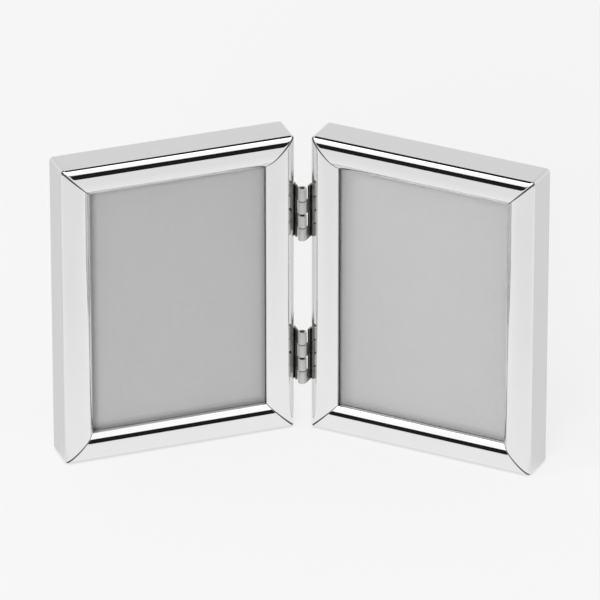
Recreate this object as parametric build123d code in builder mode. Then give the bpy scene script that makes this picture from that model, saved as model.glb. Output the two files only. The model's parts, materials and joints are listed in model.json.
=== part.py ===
from build123d import *
import os

# Hinged double photo frame, in millimetres, standing open like a book.
# Every piece is first made in the flat-open position of the right-hand frame:
# the hinge axis is the Z axis, the frame reaches out along +X and its front looks along -Y.
# It is then swung to the standing angle, and mirrored first where it belongs to the left frame.
# "Inward" runs from a frame's outer side towards the picture, "forward" from its rear plane
# towards the viewer, and "across" from its hinge side.

# Picture pack
photo_width = 63.5
photo_height = 88.9
photo_thickness = 0.4
glass_thickness = 2.0
board_thickness = 5.0
velvet_thickness = 0.5
pack_clearance = 0.4
glass_clearance = 0.2
board_clearance = 0.3

# Hollow rails
rail_width = 9.3
side_depth = 10.6
bead_height = 2.6
sight_rise = 0.65
rail_wall = 0.8
lip_overlap = 2.95
lip_thickness = 1.2
corner_radius = 1.4

# Corner keys inside the hollow rails
key_leg = 14.0
key_fit = 0.15

# Hinges
pin_radius = 0.65
pin_clearance = 0.05
pin_recess = 0.5
leaf_thickness = 0.65
leaf_reach = 11.3
hinge_length = 17.8
hinge_end_distance = 25.8
knuckle_gap = 0.3
notch_clearance = 0.95
closed_gap = 2.9

# Hinge rivets
rivet_radius = 0.8
rivet_clearance = 0.05
rivet_head_radius = 1.35
rivet_head_height = 0.45
rivet_head_taper = 35.0
rivet_tail_height = 0.5
rivet_edge_distance = 3.45
rivet_spacing = 11.0

# Turn buttons on the rear of the rails
button_thickness = 0.8
button_gap = 0.1
button_heel_radius = 2.4
button_toe_radius = 1.8
button_reach = 9.0
button_chamfer = 0.2
button_rivet_radius = 1.0
button_rivet_clearance = 0.05
button_head_radius = 1.7
button_head_height = 0.6
button_head_taper = 35.0
button_tail_height = 0.5

# Standing pose: how far each frame is swung forward from the flat-open position
swing_angle = 23.0

# What follows from those sizes
frame_width = photo_width - 2 * lip_overlap + 2 * rail_width
frame_height = photo_height - 2 * lip_overlap + 2 * rail_width
rebate = rail_width - lip_overlap - pack_clearance
seat_depth = side_depth - lip_thickness
rebate_width = photo_width + 2 * pack_clearance
rebate_height = photo_height + 2 * pack_clearance
board_width = rebate_width - 2 * board_clearance
board_height = rebate_height - 2 * board_clearance
board_front = velvet_thickness + board_thickness
glass_rear = seat_depth - glass_thickness
photo_rear = glass_rear - photo_thickness
knuckle_radius = pin_radius + pin_clearance + leaf_thickness
leaf_face = knuckle_radius - leaf_thickness
axis_depth = side_depth + bead_height + closed_gap / 2
rivet_setback = leaf_reach - rivet_edge_distance
rivet_offsets = (-rivet_spacing / 2, rivet_spacing / 2)
hinge_heights = {
    "lower": hinge_end_distance,
    "upper": frame_height - hinge_end_distance,
}

# The rear plane of the flat-open frame, facing forward, with its origin at the hinge side's foot
rear_plane = Plane(
    origin=(knuckle_radius, axis_depth, 0), x_dir=(1, 0, 0), z_dir=(0, -1, 0)
)

# Each rail: its start across and up, its inward and its running direction,
# its length and the distance to the opposite outer side
rails = {
    "bottom_rail": (0, 0, (0, 0, 1), (1, 0, 0), frame_width, frame_height),
    "outer_stile": (frame_width, 0, (-1, 0, 0), (0, 0, 1), frame_height, frame_width),
    "top_rail": (frame_width, frame_height, (0, 0, -1), (-1, 0, 0), frame_width, frame_height),
    "hinge_stile": (0, frame_height, (1, 0, 0), (0, 0, -1), frame_height, frame_width),
}
button_names = {
    "bottom_rail": "turn_button_bottom",
    "outer_stile": "turn_button_outer",
    "top_rail": "turn_button_top",
    "hinge_stile": "turn_button_hinge",
}


def rail_start(rail):
    """The point of the rear plane where a rail's outer edge starts."""
    across, up = rails[rail][:2]
    return Vector(knuckle_radius + across, axis_depth, up)


def pivot_plane(rail, forward):
    """Plane at a turn button's pivot, halfway along a rail, facing rearward with X inward."""
    inward_dir, along_dir, length = rails[rail][2:5]
    spot = rail_start(rail) + Vector(along_dir) * (length / 2) + Vector(inward_dir) * (rebate / 2)
    return Plane(origin=spot - Vector(0, forward, 0), x_dir=inward_dir, z_dir=(0, 1, 0))


def rivet_planes(across, heights):
    """Planes at the hinge rivets, at a distance from the hinge axis, facing out of the frame."""
    return [
        Plane(origin=(across, rivet_setback, height + offset), x_dir=(0, 1, 0), z_dir=(-1, 0, 0))
        for height in heights
        for offset in rivet_offsets
    ]


def make_rail(rail):
    """A hollow rail with a rounded front bead, a glass lip, a rear flange and mitred ends."""
    inward_dir, along_dir, length, opposite = rails[rail][2:]
    start = rail_start(rail)
    middle = rail_width / 2
    crest = side_depth + bead_height
    inner_wall = rebate - rail_wall
    with BuildPart() as piece:
        with BuildSketch(Plane(origin=start, x_dir=inward_dir, z_dir=along_dir)):
            with BuildLine():
                # From the sight edge up to the crest, then down on a quarter of an ellipse
                Bezier(
                    (rail_width, side_depth + sight_rise),
                    (middle + 2 * middle / 3, crest),
                    (middle + middle / 3, crest),
                    (middle, crest),
                )
                EllipticalCenterArc((middle, side_depth), middle, bead_height, 90, arc_size=90)
                Polyline(
                    (0, side_depth),
                    (0, 0),
                    (rebate, 0),
                    (rebate, seat_depth),
                    (rail_width, seat_depth),
                    (rail_width, side_depth + sight_rise),
                )
            make_face()
            with BuildLine():
                EllipticalCenterArc(
                    (middle, side_depth),
                    middle - rail_wall,
                    bead_height - rail_wall,
                    0,
                    arc_size=180,
                )
                Polyline(
                    (rail_wall, side_depth),
                    (rail_wall, rail_wall),
                    (inner_wall, rail_wall),
                    (inner_wall, side_depth),
                    (rail_width - rail_wall, side_depth),
                )
            make_face(mode=Mode.SUBTRACT)
        extrude(amount=length)
        with BuildSketch(Plane(origin=start, x_dir=along_dir, z_dir=(0, -1, 0))):
            Polygon(
                (0, 0),
                (length, 0),
                (length - rail_width, rail_width),
                (rail_width, rail_width),
                align=None,
            )
            with Locations((length / 2, opposite / 2)):
                RectangleRounded(length, opposite, corner_radius, mode=Mode.INTERSECT)
        extrude(amount=side_depth + bead_height, mode=Mode.INTERSECT)
        with Locations(pivot_plane(rail, 0)):
            Hole(button_rivet_radius + button_rivet_clearance, depth=2 * rail_wall)
        if rail == "hinge_stile":
            with Locations(*rivet_planes(knuckle_radius, hinge_heights.values())):
                Hole(rivet_radius + rivet_clearance, depth=2 * rail_wall)
    return piece


def make_corner_keys():
    """Four L-shaped keys that sit in the hollow rails and hold the mitres together."""
    near = rail_wall + key_fit
    leg_width = rebate - 2 * near
    corners = [
        (near, near, 0),
        (frame_width - near, near, 90),
        (frame_width - near, frame_height - near, 180),
        (near, frame_height - near, 270),
    ]
    with BuildPart() as piece:
        with BuildSketch(rear_plane.offset(near)):
            for across, up, turn in corners:
                with Locations(Location((across, up, 0), (0, 0, turn))):
                    Rectangle(key_leg, leg_width, align=(Align.MIN, Align.MIN))
                    Rectangle(leg_width, key_leg, align=(Align.MIN, Align.MIN))
        extrude(amount=seat_depth - 2 * near)
    return piece


def make_sheet(width, height, rear, thickness):
    """A flat sheet of the picture pack, centred in the frame."""
    with BuildPart() as piece:
        with BuildSketch(rear_plane.offset(rear)):
            with Locations((frame_width / 2, frame_height / 2)):
                Rectangle(width, height)
        extrude(amount=thickness)
    return piece


def make_turn_button(rail):
    """A flat swivelling catch whose toe reaches inward over the back board."""
    with BuildPart() as piece:
        with BuildSketch(pivot_plane(rail, -button_gap)):
            Circle(button_heel_radius)
            with Locations((button_reach - button_toe_radius, 0)):
                Circle(button_toe_radius)
            make_hull()
            Circle(button_rivet_radius + button_rivet_clearance, mode=Mode.SUBTRACT)
        extrude(amount=button_thickness)
        rear_face = piece.faces().sort_by(Axis.Y)[-1]
        chamfer(rear_face.outer_wire().edges(), button_chamfer)
    return piece


def make_button_rivets():
    """The four rivets that the turn buttons swivel on, closed over inside the rails."""
    head_seat = button_gap + button_thickness + button_rivet_clearance
    with BuildPart() as piece:
        for rail in rails:
            with BuildSketch(pivot_plane(rail, rail_wall + button_tail_height)):
                Circle(button_head_radius)
            extrude(amount=button_tail_height)
            with BuildSketch(pivot_plane(rail, rail_wall)):
                Circle(button_rivet_radius)
            extrude(amount=rail_wall + head_seat)
            with BuildSketch(pivot_plane(rail, -head_seat)):
                Circle(button_head_radius)
            extrude(amount=button_head_height, taper=button_head_taper)
    return piece


def make_leaf(height, places):
    """A hinge leaf on the side of the hinge stile, with knuckles at two of the four places."""
    knuckle_length = (hinge_length - 3 * knuckle_gap) / 4
    foot = height - hinge_length / 2
    notch = knuckle_radius + notch_clearance
    with BuildPart() as piece:
        with BuildSketch(Plane.XY.offset(foot)):
            with Locations((leaf_face, notch)):
                Rectangle(leaf_thickness, leaf_reach - notch, align=(Align.MIN, Align.MIN))
        extrude(amount=hinge_length)
        for place in places:
            lift = place * (knuckle_length + knuckle_gap)
            with BuildSketch(Plane.XY.offset(foot + lift)):
                Circle(knuckle_radius)
                with Locations((leaf_face, 0)):
                    Rectangle(leaf_thickness, leaf_reach, align=(Align.MIN, Align.MIN))
                Circle(pin_radius + pin_clearance, mode=Mode.SUBTRACT)
            extrude(amount=knuckle_length)
        with Locations(*rivet_planes(leaf_face, [height])):
            Hole(rivet_radius + rivet_clearance, depth=2 * leaf_thickness)
    return piece


def make_pin(height):
    """A hinge pin, set in a little from both ends of the barrel."""
    with BuildPart() as piece:
        with BuildSketch(Plane.XY.offset(height - hinge_length / 2 + pin_recess)):
            Circle(pin_radius)
        extrude(amount=hinge_length - 2 * pin_recess)
    return piece


def make_hinge_rivets(height):
    """Two rivets through a leaf and the wall of the stile."""
    grip = leaf_thickness + rail_wall
    with BuildPart() as piece:
        for seat in rivet_planes(leaf_face, [height]):
            with BuildSketch(seat):
                Circle(rivet_head_radius)
            extrude(amount=rivet_head_height, taper=rivet_head_taper)
            with BuildSketch(seat):
                Circle(rivet_radius)
            extrude(amount=-grip)
            with BuildSketch(seat.offset(-grip)):
                Circle(rivet_head_radius)
            extrude(amount=-rivet_tail_height)
    return piece


def mirrored(piece):
    """The same piece for the other side of the hinge axis."""
    with BuildPart() as twin:
        mirror(piece.part, about=Plane.YZ)
    return twin


def write(piece, name, pose):
    """Swing a piece from the flat-open position to the standing pose and write it."""
    with BuildPart() as standing:
        with Locations(pose):
            add(piece.part)
    standing.part.label = name
    export_step(standing.part, f"parts/{name}.step")


# The pieces of one frame
frame_pieces = {
    "corner_keys": make_corner_keys(),
    "glass": make_sheet(
        rebate_width - 2 * glass_clearance,
        rebate_height - 2 * glass_clearance,
        glass_rear,
        glass_thickness,
    ),
    "photo_card": make_sheet(photo_width, photo_height, photo_rear, photo_thickness),
    "packing_card": make_sheet(photo_width, photo_height, board_front, photo_rear - board_front),
    "back_board": make_sheet(board_width, board_height, velvet_thickness, board_thickness),
    "velvet_back": make_sheet(board_width, board_height, 0, velvet_thickness),
    "button_rivets": make_button_rivets(),
}
for rail, button in button_names.items():
    frame_pieces[rail] = make_rail(rail)
    frame_pieces[button] = make_turn_button(rail)

# The hinge axis stands so far back that the origin is under the middle of the whole object
right_swing = Location((0, 0, 0), (0, 0, -swing_angle))
swept = Compound([piece.part.moved(right_swing) for piece in frame_pieces.values()])
axis_y = -swept.bounding_box().center().Y
right_pose = Location((0, axis_y, 0), (0, 0, -swing_angle))
left_pose = Location((0, axis_y, 0), (0, 0, swing_angle))

os.makedirs("parts", exist_ok=True)
for name, piece in frame_pieces.items():
    write(piece, f"right_{name}", right_pose)
    write(mirrored(piece), f"left_{name}", left_pose)

# Knuckle places count from the bottom of the barrel
for name, height in hinge_heights.items():
    write(make_leaf(height, (0, 2)), f"{name}_hinge_right_leaf", right_pose)
    write(mirrored(make_leaf(height, (1, 3))), f"{name}_hinge_left_leaf", left_pose)
    write(make_pin(height), f"{name}_hinge_pin", left_pose)
    write(make_hinge_rivets(height), f"{name}_hinge_right_rivets", right_pose)
    write(mirrored(make_hinge_rivets(height)), f"{name}_hinge_left_rivets", left_pose)

print(f"frame {frame_width:.2f} x {frame_height:.2f}, hinge axis at y = {axis_y:.3f}")
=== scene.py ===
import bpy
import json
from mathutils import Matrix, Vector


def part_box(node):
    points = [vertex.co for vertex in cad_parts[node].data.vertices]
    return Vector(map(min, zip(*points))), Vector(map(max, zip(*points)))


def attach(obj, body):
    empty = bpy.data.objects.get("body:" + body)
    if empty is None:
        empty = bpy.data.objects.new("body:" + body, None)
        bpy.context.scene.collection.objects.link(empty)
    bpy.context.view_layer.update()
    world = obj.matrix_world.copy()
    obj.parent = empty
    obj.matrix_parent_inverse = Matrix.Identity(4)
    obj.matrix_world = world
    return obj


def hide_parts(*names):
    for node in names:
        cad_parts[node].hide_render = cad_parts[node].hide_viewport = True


bl_info = {
    "name": "Hinged double photo frame",
    "version": (1, 0, 0),
    "blender": (4, 5, 0),
    "location": "View3D > Sidebar > Photo frame",
    "description": "Dresses a folding pair of silver-plated photo frames",
    "category": "Add Mesh",
}

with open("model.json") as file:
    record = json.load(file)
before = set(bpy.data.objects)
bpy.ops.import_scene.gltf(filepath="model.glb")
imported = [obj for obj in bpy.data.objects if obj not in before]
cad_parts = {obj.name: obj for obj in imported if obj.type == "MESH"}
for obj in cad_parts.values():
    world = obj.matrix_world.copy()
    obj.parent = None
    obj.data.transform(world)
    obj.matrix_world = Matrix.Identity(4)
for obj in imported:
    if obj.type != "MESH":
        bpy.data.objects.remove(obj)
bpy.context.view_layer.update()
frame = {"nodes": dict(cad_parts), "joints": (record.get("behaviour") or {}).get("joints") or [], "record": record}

import json
import math

import bmesh
import bpy
from bpy.props import FloatProperty, FloatVectorProperty, PointerProperty
from mathutils import Matrix, Vector, noise

# Every piece is made in the flat-open position of the right-hand frame: the hinge axis is the
# Z axis, the frame reaches out along +X and its front looks along -Y. It is then swung to the
# standing pose, and mirrored after that where it belongs to the left frame. "Inward" runs from
# a frame's outer side towards the picture, "forward" from its rear plane towards the viewer,
# and "across" from its hinge side.

JOINTS = {joint["name"]: joint for joint in frame["joints"]}
BODY_OF = {
    node: body
    for body, nodes in frame["record"]["behaviour"]["bodies"].items()
    for node in nodes
}
HINGE_AXIS = Vector(JOINTS["frame_fold"]["pos_m"])
REARWARD = Vector(JOINTS["right_button_top_turn"]["axis"])
SWING = math.atan2(REARWARD.x, REARWARD.y)
FRAME_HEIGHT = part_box("right_top_rail")[1].z
SIDES = ("left", "right")
MITRE_COSINE = math.cos(math.pi / 4)
# Which of the barrel's knuckles, counted from below, belong to each leaf
KNUCKLES = {"right": (0, 2), "left": (1, 3)}


def length(name, description, millimetres):
    """A size that a user may set, shown in the scene's own unit of length."""
    metres = millimetres / 1000
    return FloatProperty(
        name=name, description=description, default=metres, min=0, precision=5, unit="LENGTH"
    )


def colour(name, description, red, green, blue):
    """A colour that a user may set."""
    tint = (red, green, blue)
    return FloatVectorProperty(
        name=name, description=description, default=tint, size=3, min=0, max=1, subtype="COLOR"
    )


def share(name, description, default):
    """A share from nothing to all that a user may set."""
    return FloatProperty(
        name=name, description=description, default=default, min=0, max=1, subtype="FACTOR"
    )


def bearing(name, description, degrees):
    """An angle that a user may set."""
    return FloatProperty(
        name=name, description=description, default=math.radians(degrees), subtype="ANGLE"
    )


class RailSizes(bpy.types.PropertyGroup):
    """Sizes and finish of the silver-plated rails."""

    width: length("Rail width", "From a frame's outer side to its sight edge", 9.3)
    side_depth: length("Side depth", "From the rear plane to the foot of the bead", 10.6)
    bead_height: length("Bead height", "How far the rounded front stands forward", 2.6)
    sight_rise: length("Sight rise", "How far the bead stands forward at its sight edge", 0.65)
    seat_depth: length("Seat depth", "From the rear plane to the back of the glass lip", 9.4)
    rebate: length("Rebate", "From a frame's outer side to the hole for the picture pack", 5.95)
    corner_radius: length("Corner radius", "Rounding of a frame's outer corners", 1.4)
    rear_edge: length("Rear edge", "Rounding of the outer rear edge", 0.45)
    fine_edge: length("Fine edge", "Rounding of the lip and the rebate", 0.15)
    fold: length("Mitre fold", "Rounding of the polished front where two rails meet", 1.2)
    seam: length("Mitre seam", "Depth of the groove between two rails", 0.15)
    seam_stain: length("Seam stain", "Width of the tarnish beside a seam", 0.12)
    # Painted shade: these bands on the glass lips stand for the shade where a lip meets the glass
    lip_stain: length("Lip stain", "Height of the tarnish on the glass lip of a rail", 0.6)
    stile_shade: length("Stile shade", "Height of the tarnish on a hinge stile's glass lip", 1.7)
    ripple: length("Ripple", "How far the polished bead wanders from true", 0.02)
    frame_width: length("Frame width", "From the hinge side to the outer side", 76.2)
    plate: colour("Silver", "Colour of the polished plate", 0.865, 0.865, 0.862)
    satin: share("Satin", "Roughness of the rails' sides and back", 0.38)
    # This colour is the tarnish in the mitre seams and also the painted shade on the glass lips
    tarnish: colour("Tarnish", "Colour of the plate in a stained seam", 0.07, 0.068, 0.065)


class PackSizes(bpy.types.PropertyGroup):
    """Sizes and finishes of what a frame holds."""

    glass_width: length("Glass width", "Width of the glass", 63.9)
    glass_height: length("Glass height", "Height of the glass", 89.3)
    glass_rear: length("Glass rear", "From the rear plane to the back of the glass", 7.45)
    glass_front: length("Glass front", "From the rear plane to the front of the glass", 9.36)
    glass_edge: length("Glass edge", "Ground-off edge of the glass", 0.35)
    velvet_width: length("Velvet width", "Width of the velvet skin", 63.7)
    velvet_height: length("Velvet height", "Height of the velvet skin", 89.1)
    velvet_thickness: length("Velvet thickness", "Thickness of the velvet skin", 0.5)
    velvet_step: length("Velvet step", "Distance between points of the velvet mesh", 0.6)
    nap: length("Nap", "How far the pile of the velvet is uneven", 0.05)
    paper: colour("Card", "Colour of the bare card behind the glass", 0.446, 0.446, 0.446)
    velvet: colour("Velvet", "Colour of the velvet skin", 0.012, 0.012, 0.014)
    board: colour("Board", "Colour of the back board", 0.2, 0.115, 0.06)
    greyboard: colour("Packing", "Colour of the packing card", 0.34, 0.32, 0.29)


class HingeSizes(bpy.types.PropertyGroup):
    """Sizes and finish of the two butt hinges."""

    knuckle_radius: length("Knuckle radius", "Outer radius of the barrel", 1.35)
    thickness: length("Leaf thickness", "Thickness of a leaf", 0.65)
    reach: length("Leaf reach", "From the hinge axis to the rear edge of a leaf", 11.3)
    length: length("Hinge length", "Height of a hinge", 17.8)
    end_distance: length("End distance", "From a frame's end to the middle of a hinge", 25.8)
    knuckle_gap: length("Knuckle gap", "Gap between two knuckles", 0.27)
    middle_gap: length("Middle gap", "Gap between the two knuckles in the middle", 0.72)
    notch: length("Notch", "From the hinge axis to the foot of the notch between knuckles", 2.3)
    leaf_edge: length("Leaf edge", "Rounding of a leaf's edges", 0.08)
    pin_radius: length("Pin radius", "Radius of a hinge pin", 0.65)
    pin_recess: length("Pin recess", "How far a pin is set in at the ends of the barrel", 0.5)
    axis_depth: length("Axis depth", "From the rear plane to the hinge axis", 14.65)
    rivet_radius: length("Rivet radius", "Radius of a rivet's shank", 0.8)
    rivet_head: length("Rivet head", "Radius of a rivet's head", 1.35)
    rivet_rise: length("Rivet rise", "Height of a rivet's head", 0.45)
    rivet_grip: length("Rivet grip", "Thickness that a rivet holds together", 1.45)
    rivet_tail: length("Rivet tail", "Height of a rivet's closed-over tail", 0.5)
    rivet_setback: length("Rivet setback", "From the hinge axis to a rivet", 7.85)
    rivet_spacing: length("Rivet spacing", "Distance between a leaf's two rivets", 11.0)
    curl: bearing("Curl", "How far a leaf is rolled round the pin", 297)
    steel: colour("Hinge steel", "Colour of the rubbed barrel", 0.6, 0.596, 0.585)
    # Painted shade: the pins are coloured dark for the shade in the narrow gaps between the knuckles
    pin_shade: colour("Pin", "Colour of the oiled pins", 0.035, 0.034, 0.033)
    # Painted shade: the leaves' plates are coloured dark for the shade in the wedge between the frames
    plate_shade: colour("Leaf plate shade", "Colour of the leaves' darkened plates", 0.2, 0.197, 0.19)


class ButtonSizes(bpy.types.PropertyGroup):
    """Sizes and finish of the turn buttons on the back."""

    thickness: length("Button thickness", "Thickness of a turn button", 0.8)
    gap: length("Button gap", "Gap between a turn button and the rail", 0.1)
    heel: length("Heel radius", "Radius of the end on the rivet", 2.4)
    toe: length("Toe radius", "Radius of the end over the back board", 1.8)
    reach: length("Button reach", "From the rivet to the tip of the toe", 9.0)
    edge: length("Button edge", "Rounding of the outer edge", 0.25)
    hole: length("Button hole", "Radius of the hole for the rivet", 1.05)
    rivet_radius: length("Rivet radius", "Radius of a rivet's shank", 1.0)
    rivet_head: length("Rivet head", "Radius of a rivet's head", 1.7)
    rivet_rise: length("Rivet rise", "Height of a rivet's head", 0.6)
    rivet_seat: length("Rivet seat", "From the rear plane to the foot of a rivet's head", 0.95)
    rivet_grip: length("Rivet grip", "From the rear plane to a rivet's tail", 0.8)
    rivet_tail: length("Rivet tail", "Height of a rivet's closed-over tail", 0.5)
    steel: colour("Button steel", "Colour of the turn buttons", 0.66, 0.65, 0.62)


class StageSettings(bpy.types.PropertyGroup):
    """Camera, light and floor."""

    azimuth: bearing("Azimuth", "How far the camera stands to the right", 3.115)
    elevation: bearing("Elevation", "How far the camera looks down", 26.924)
    distance: length("Distance", "From the camera to the object", 2400)
    lens: FloatProperty(
        name="Lens", description="Focal length of the camera in millimetres", default=462.94
    )
    aim_across: length("Aim across", "How far left of the middle the camera looks", 0.346)
    aim_height: length("Aim height", "The height that the camera looks at", 49.361)
    backdrop: share("Backdrop", "How bright the floor and the background show", 0.92)
    floor_glow: share("Floor glow", "Share of the floor's brightness that no shadow dims", 0.85)
    contact: length("Contact", "How far the shade at the foot of the frames reaches", 0.7)
    contact_shade: share("Contact shade", "How dark the floor is under the frames", 0.24)
    floor_front: share("Floor in front", "How bright the floor in front shows in metal", 0.85)
    floor_side: share("Floor at the sides", "How bright the floor beside shows in metal", 0.72)
    fill: share("Fill", "Light from all round", 0.7)
    fill_lean: share("Fill lean", "How much more of it comes from the left than the right", 0.2)
    key: share("Key", "Share of the light on the floor that the key lamp gives", 0.243)
    side_fill: share("Side fill", "Share of it that the lamp at the left gives", 0.141)
    softbox: FloatProperty(
        name="Softbox", description="How bright the softbox shows in the metal", default=1.12
    )
    softbox_low: bearing("Softbox low edge", "Height of the softbox's front edge", 39)
    softbox_high: bearing("Softbox high edge", "Height of the softbox's rear edge", 86.5)
    softbox_distance: length("Softbox distance", "From the object to the softbox", 900)
    softbox_width: length("Softbox width", "Width of the softbox", 2600)
    screen: share("Rear screen", "How bright the screen behind shows in the metal", 0.8)
    screen_edge: bearing("Rear screen edge", "Height of the rear screen's edge", 50)
    flag: share("Flags", "How bright the dark flags show in the metal", 0.012)


SETTINGS = {
    "photo_frame_rails": RailSizes,
    "photo_frame_pack": PackSizes,
    "photo_frame_hinges": HingeSizes,
    "photo_frame_buttons": ButtonSizes,
    "photo_frame_stage": StageSettings,
}
# The sizes that the tree of the rails takes, each input named like its setting
RAIL_INPUTS = ("Width", "Side depth", "Bead height", "Corner radius", "Fold", "Seam")
RAIL_INPUTS += ("Seam stain", "Seat depth", "Lip stain", "Ripple")


class Term:
    """A value that flows through a node tree, so that its sums read as formulas."""

    def __init__(self, socket):
        self.socket = socket
        self.tree = socket.id_data

    def sum(self, operation, other=0.0):
        return flow(self.tree, "ShaderNodeMath", {0: self, 1: other}, operation=operation)

    def __add__(self, other):
        return self.sum("ADD", other)

    def __sub__(self, other):
        return self.sum("SUBTRACT", other)

    def __rsub__(self, other):
        return flow(self.tree, "ShaderNodeMath", {0: other, 1: self}, operation="SUBTRACT")

    def __mul__(self, other):
        return self.sum("MULTIPLY", other)

    def __truediv__(self, other):
        return self.sum("DIVIDE", other)

    def __pow__(self, exponent):
        return self.sum("POWER", exponent)

    def __abs__(self):
        return self.sum("ABSOLUTE")

    def root(self):
        return self.sum("SQRT")

    def above(self, other):
        return self.sum("GREATER_THAN", other)

    def at_least(self, other):
        return self.sum("MAXIMUM", other)

    def between(self, low, high):
        return self.at_least(low).sum("MINIMUM", high)

    def ramp(self, start, width):
        """From nothing at the start to one a width later."""
        return ((self - start) / width).between(0.0, 1.0)


def flow(tree, kind, inputs=None, output=0, **settings):
    """One output of a new node whose settings are made and whose inputs are given or joined."""
    node = tree.nodes.new(kind)
    for name, value in settings.items():
        setattr(node, name, value)
    for key, value in (inputs or {}).items():
        if isinstance(value, Term):
            tree.links.new(value.socket, node.inputs[key])
        else:
            node.inputs[key].default_value = value
    return Term(node.outputs[output])


def split(vector):
    """The three numbers of a vector."""
    first = flow(vector.tree, "ShaderNodeSeparateXYZ", {"Vector": vector})
    return [Term(socket) for socket in first.socket.node.outputs]


def combine(x, y, z):
    """A vector from three numbers."""
    return flow(x.tree, "ShaderNodeCombineXYZ", {"X": x, "Y": y, "Z": z})


def mix_shaders(factor, first, second):
    """Two shaders mixed by a factor."""
    return flow(factor.tree, "ShaderNodeMixShader", {0: factor, 1: first, 2: second})


def node_tree(name, inputs):
    """A new Geometry Nodes tree with the given kinds of inputs, and its inputs by name."""
    tree = bpy.data.node_groups.new(name, "GeometryNodeTree")
    for label, kind in inputs.items():
        tree.interface.new_socket(label, in_out="INPUT", socket_type=f"NodeSocket{kind}")
    tree.interface.new_socket("Geometry", in_out="OUTPUT", socket_type="NodeSocketGeometry")
    entry = tree.nodes.new("NodeGroupInput")
    return tree, {label: Term(entry.outputs[label]) for label in inputs}


def close_tree(tree, geometry, finish):
    """End a tree with plain geometry in its finish."""
    plain = flow(tree, "GeometryNodeRealizeInstances", {"Geometry": geometry})
    painted = flow(tree, "GeometryNodeSetMaterial", {"Geometry": plain, "Material": finish})
    leave = tree.nodes.new("NodeGroupOutput")
    tree.links.new(painted.socket, leave.inputs["Geometry"])


def capture(tree, geometry, kind, value):
    """Keep a value of a curve for the mesh that is swept from it."""
    node = tree.nodes.new("GeometryNodeCaptureAttribute")
    node.capture_items.new(kind, "Kept")
    tree.links.new(geometry.socket, node.inputs["Geometry"])
    tree.links.new(value.socket, node.inputs[1])
    return Term(node.outputs["Geometry"]), Term(node.outputs[1])


def sweep(tree, path, section, caps):
    """A section swept along a path: its mesh, and each point's place on the path and in the
    section."""
    factor = flow(tree, "GeometryNodeSplineParameter", output="Factor")
    path, factor = capture(tree, path, "FLOAT", factor)
    outline = flow(tree, "GeometryNodeObjectInfo", {"Object": section}, "Geometry")
    spot = flow(tree, "GeometryNodeInputPosition")
    outline, spot = capture(tree, outline, "VECTOR", spot)
    swept = {"Curve": path, "Profile Curve": outline, "Fill Caps": caps}
    return flow(tree, "GeometryNodeCurveToMesh", swept), factor, *split(spot)[:2]


def add_object(name, data):
    """A new object in the scene."""
    item = bpy.data.objects.new(name, data)
    bpy.context.scene.collection.objects.link(item)
    return item


def grow(name, tree, values):
    """A piece whose mesh a node tree makes from the given values."""
    piece = add_object(name, bpy.data.meshes.new(name))
    modifier = piece.modifiers.new("Grow", "NODES")
    modifier.node_group = tree
    for item in tree.interface.items_tree:
        if item.item_type == "SOCKET" and item.in_out == "INPUT":
            modifier[item.identifier] = values[item.name]
    return freeze(piece)


def freeze(piece):
    """Turn what a piece's modifiers show into its plain mesh."""
    graph = bpy.context.evaluated_depsgraph_get()
    mesh = bpy.data.meshes.new_from_object(piece.evaluated_get(graph), depsgraph=graph)
    piece.modifiers.clear()
    old = piece.data
    piece.data = mesh
    bpy.data.meshes.remove(old)
    mesh.name = piece.name
    return piece


def outline_curve(name, points, closed):
    """A flat helper curve through points, for a node tree to sweep."""
    data = bpy.data.curves.new(name, "CURVE")
    spline = data.splines.new("POLY")
    spline.points.add(len(points) - 1)
    for place, point in zip(spline.points, points):
        place.co = (*point, 0, 1)
    spline.use_cyclic_u = closed
    return add_object(name, data)


def plain_mesh(name, vertices, faces):
    """A new mesh from vertices and faces, or from loose points."""
    mesh = bpy.data.meshes.new(name)
    mesh.from_pydata([tuple(vertex) for vertex in vertices], [], faces)
    return mesh


def face_outwards(mesh):
    """Turn all faces of closed shapes to the outside."""
    work = bmesh.new()
    work.from_mesh(mesh)
    bmesh.ops.recalc_face_normals(work, faces=work.faces)
    work.to_mesh(mesh)
    work.free()


def grid_faces(rows, columns, close_rows=False, close_columns=False):
    """Faces between rows of points, which may close on themselves either way."""
    faces = []
    for row in range(rows if close_rows else rows - 1):
        here, after = row * columns, (row + 1) % rows * columns
        for column in range(columns if close_columns else columns - 1):
            beside = (column + 1) % columns
            faces.append((here + column, here + beside, after + beside, after + column))
    return faces


def mesh_piece(name, vertices, faces, finish):
    """A new piece from vertices and faces, smooth and facing outwards."""
    mesh = plain_mesh(name, vertices, faces)
    face_outwards(mesh)
    mesh.shade_smooth()
    mesh.materials.append(finish)
    return add_object(name, mesh)


def weigh_normals(piece):
    """Keep flat faces flat beside their rounded edges."""
    modifier = piece.modifiers.new("Weigh", "WEIGHTED_NORMAL")
    modifier.mode = "FACE_AREA"
    modifier.weight = 100
    modifier.keep_sharp = True
    freeze(piece)


def settle(piece, side, slot, *nodes):
    """Swing a piece to its standing place and let it stand for its CAD nodes."""
    turn = Matrix.Rotation(-SWING, 4, "Z")
    if side == "left":
        turn = Matrix.Scale(-1, 4, (1, 0, 0)) @ turn
    piece.data.transform(Matrix.Translation(HINGE_AXIS) @ turn)
    if side == "left":
        piece.data.flip_normals()
    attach(piece, BODY_OF[nodes[0]])
    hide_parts(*nodes)


def local(across, forward, up):
    """A point of a frame in the flat-open position."""
    hinges = bpy.context.scene.photo_frame_hinges
    return Vector((hinges.knuckle_radius + across, hinges.axis_depth - forward, up))


def arc(centre, radius, start, end, steps):
    """Points on an arc, from one angle to another in degrees, both ends included."""
    for step in range(steps + 1):
        angle = math.radians(start + (end - start) * step / steps)
        yield (centre[0] + radius * math.cos(angle), centre[1] + radius * math.sin(angle))


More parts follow.
